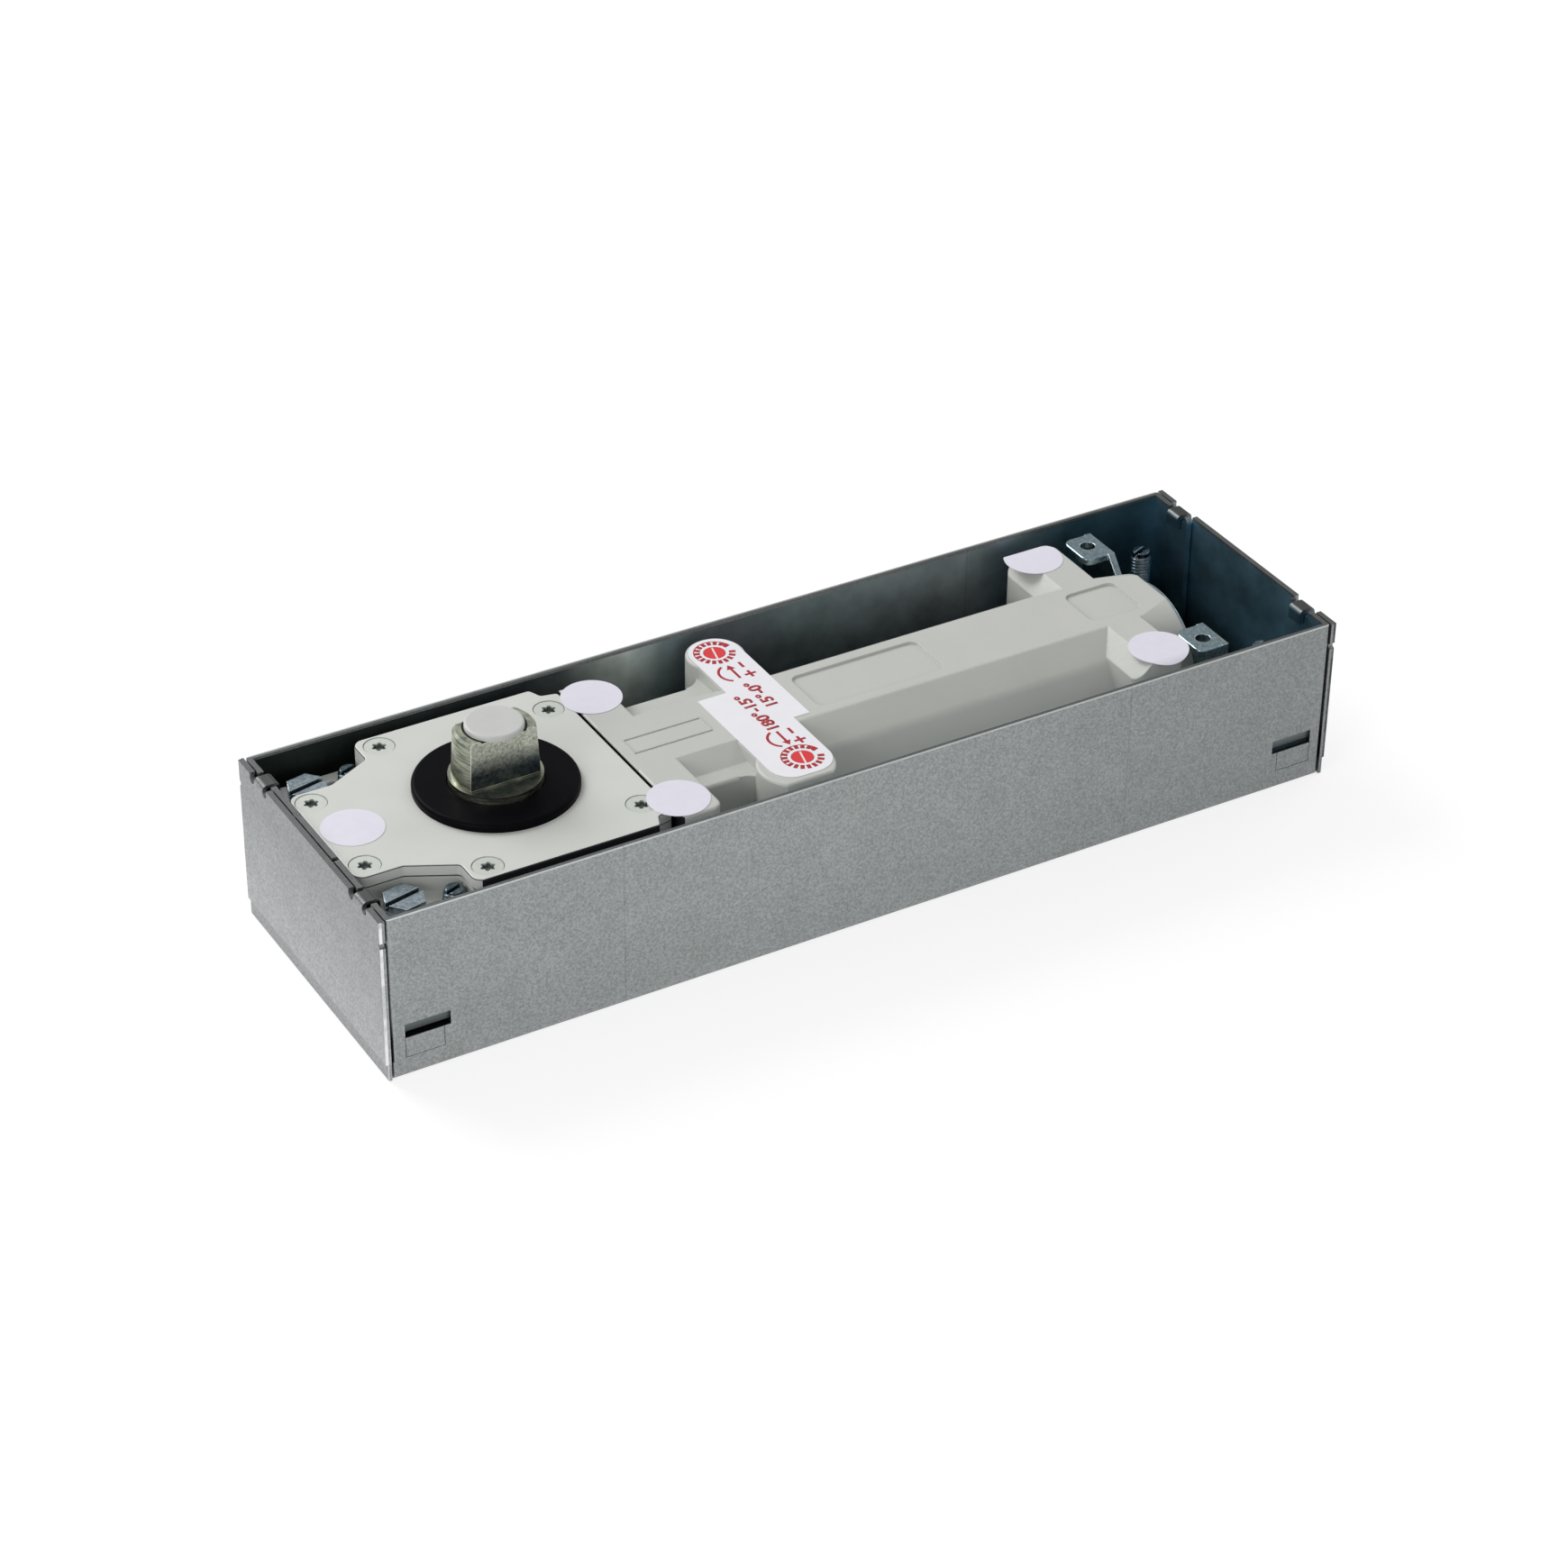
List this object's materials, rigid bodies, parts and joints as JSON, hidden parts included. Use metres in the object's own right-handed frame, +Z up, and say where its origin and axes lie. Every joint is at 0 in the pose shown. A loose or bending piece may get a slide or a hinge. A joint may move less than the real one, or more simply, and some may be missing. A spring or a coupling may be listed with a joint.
{
  "type": "floor spring door closer",
  "caption": "Floor spring: a cam-action door closer with a tapered spindle, in a galvanised sheet-steel cement box that is set under the threshold.",
  "frame": {"origin": "middle of the box's underside, at the floor of the recess", "axes": "+Z up along the spindle's axis; +X along the box from the spindle end to the bracket end; +Y across the box to its back wall"},
  "size_m": [0.285, 0.083, 0.0664],
  "materials": {
    "galvanised_sheet": "matt galvanised",
    "bush_steel": "turned, as welded",
    "grey_casting": "light grey paint on a cast skin",
    "grey_cover": "light grey paint",
    "nickel_screws": "light paint over zinc",
    "black_collar": "satin black",
    "yellow_zinc": "yellow-passivated zinc",
    "grey_cap": "moulded",
    "blue_zinc": "blue-passivated zinc",
    "hardened_steel": "ground",
    "spring_steel": "oiled",
    "black_rubber": "moulded",
    "red_valve": "red lacquer on brass",
    "paper_label": "printed film",
    "white_stickers": "film"
  },
  "bodies": {
    "cement_box": {"box_shell": "galvanised_sheet", "end_panel_spindle": "galvanised_sheet", "end_panel_far": "galvanised_sheet", "clamp_bushes": "bush_steel"},
    "closer": {"closer_housing": "grey_casting", "cover_plate": "grey_cover", "cover_gasket": "black_rubber", "cover_screws": "nickel_screws", "spindle_collar": "black_collar", "shaft_seal": "black_rubber", "upper_bearing_shell": "hardened_steel", "upper_bearing_needles": "hardened_steel", "lower_bearing_outer_ring": "hardened_steel", "lower_bearing_balls": "hardened_steel", "closing_spring": "spring_steel", "spring_seat": "hardened_steel", "end_plug": "hardened_steel", "end_plug_seal": "black_rubber", "valve_label": "paper_label", "round_stickers": "white_stickers", "clamp_bolts": "blue_zinc", "strap_bracket": "blue_zinc", "bracket_screws": "blue_zinc"},
    "spindle": {"spindle_shaft": "yellow_zinc", "cam_disc": "hardened_steel", "cam_key": "hardened_steel", "lower_bearing_inner_ring": "hardened_steel", "spindle_end": "yellow_zinc", "spindle_end_screw": "hardened_steel", "spindle_cap": "grey_cap"},
    "piston_group": {"piston": "hardened_steel", "piston_ring": "black_rubber", "roller_pin": "hardened_steel", "check_ball": "hardened_steel", "check_ball_retainer": "hardened_steel"},
    "roller": {"cam_roller": "hardened_steel"},
    "valve_front": {"regulating_valve_front": "red_valve", "regulating_valve_seal_front": "black_rubber"},
    "valve_back": {"regulating_valve_back": "red_valve", "regulating_valve_seal_back": "black_rubber"},
    "level_near_front": {"levelling_screw_front": "blue_zinc"},
    "level_near_back": {"levelling_screw_back": "blue_zinc"},
    "level_far_front": {"levelling_stud_front": "blue_zinc"},
    "level_far_back": {"levelling_stud_back": "blue_zinc"}
  },
  "joints": [
    {"name": "height_adjust", "type": "slide", "parent": "cement_box", "child": "closer", "axis": [0, 0, 1], "range_m": [0, 0.003]},
    {"name": "spindle_turn", "type": "hinge", "parent": "closer", "child": "spindle", "pos_m": [-0.0898, 0, 0.024], "axis": [0, 0, 1], "range_deg": [0, 180], "stiffness_Nm_per_rad": 1.2},
    {"name": "piston_slide", "type": "slide", "parent": "closer", "child": "piston_group", "axis": [1, 0, 0], "range_m": [0, 0.012], "deforming": ["closing_spring"]},
    {"name": "roller_turn", "type": "hinge", "parent": "piston_group", "child": "roller", "pos_m": [-0.0668, 0, 0.024], "axis": [0, 0, 1], "continuous": true},
    {"name": "valve_front_turn", "type": "hinge", "parent": "closer", "child": "valve_front", "pos_m": [-0.0155, -0.02675, 0.04], "axis": [0, 0, 1], "range_deg": [0, 360]},
    {"name": "valve_back_turn", "type": "hinge", "parent": "closer", "child": "valve_back", "pos_m": [-0.0105, 0.0283, 0.04], "axis": [0, 0, 1], "range_deg": [0, 360]},
    {"name": "level_turn_near_front", "type": "hinge", "parent": "cement_box", "child": "level_near_front", "pos_m": [-0.1168, -0.0305, 0.02], "axis": [0, 0, 1], "range_deg": [0, 1080]},
    {"name": "level_turn_near_back", "type": "hinge", "parent": "cement_box", "child": "level_near_back", "pos_m": [-0.1168, 0.0305, 0.02], "axis": [0, 0, 1], "range_deg": [0, 1080]},
    {"name": "level_turn_far_front", "type": "hinge", "parent": "cement_box", "child": "level_far_front", "pos_m": [0.1275, -0.029, 0.02], "axis": [0, 0, 1], "range_deg": [0, 1080]},
    {"name": "level_turn_far_back", "type": "hinge", "parent": "cement_box", "child": "level_far_back", "pos_m": [0.1275, 0.029, 0.02], "axis": [0, 0, 1], "range_deg": [0, 1080]}
  ],
  "couplings": [
    {"joint": "piston_slide", "follows": "spindle_turn", "m_per_rad": 0.0038197},
    {"joint": "level_turn_near_front", "follows": "height_adjust", "rad_per_m": 6283.2},
    {"joint": "level_turn_near_back", "follows": "height_adjust", "rad_per_m": 6283.2},
    {"joint": "level_turn_far_front", "follows": "height_adjust", "rad_per_m": 6283.2},
    {"joint": "level_turn_far_back", "follows": "height_adjust", "rad_per_m": 6283.2}
  ]
}
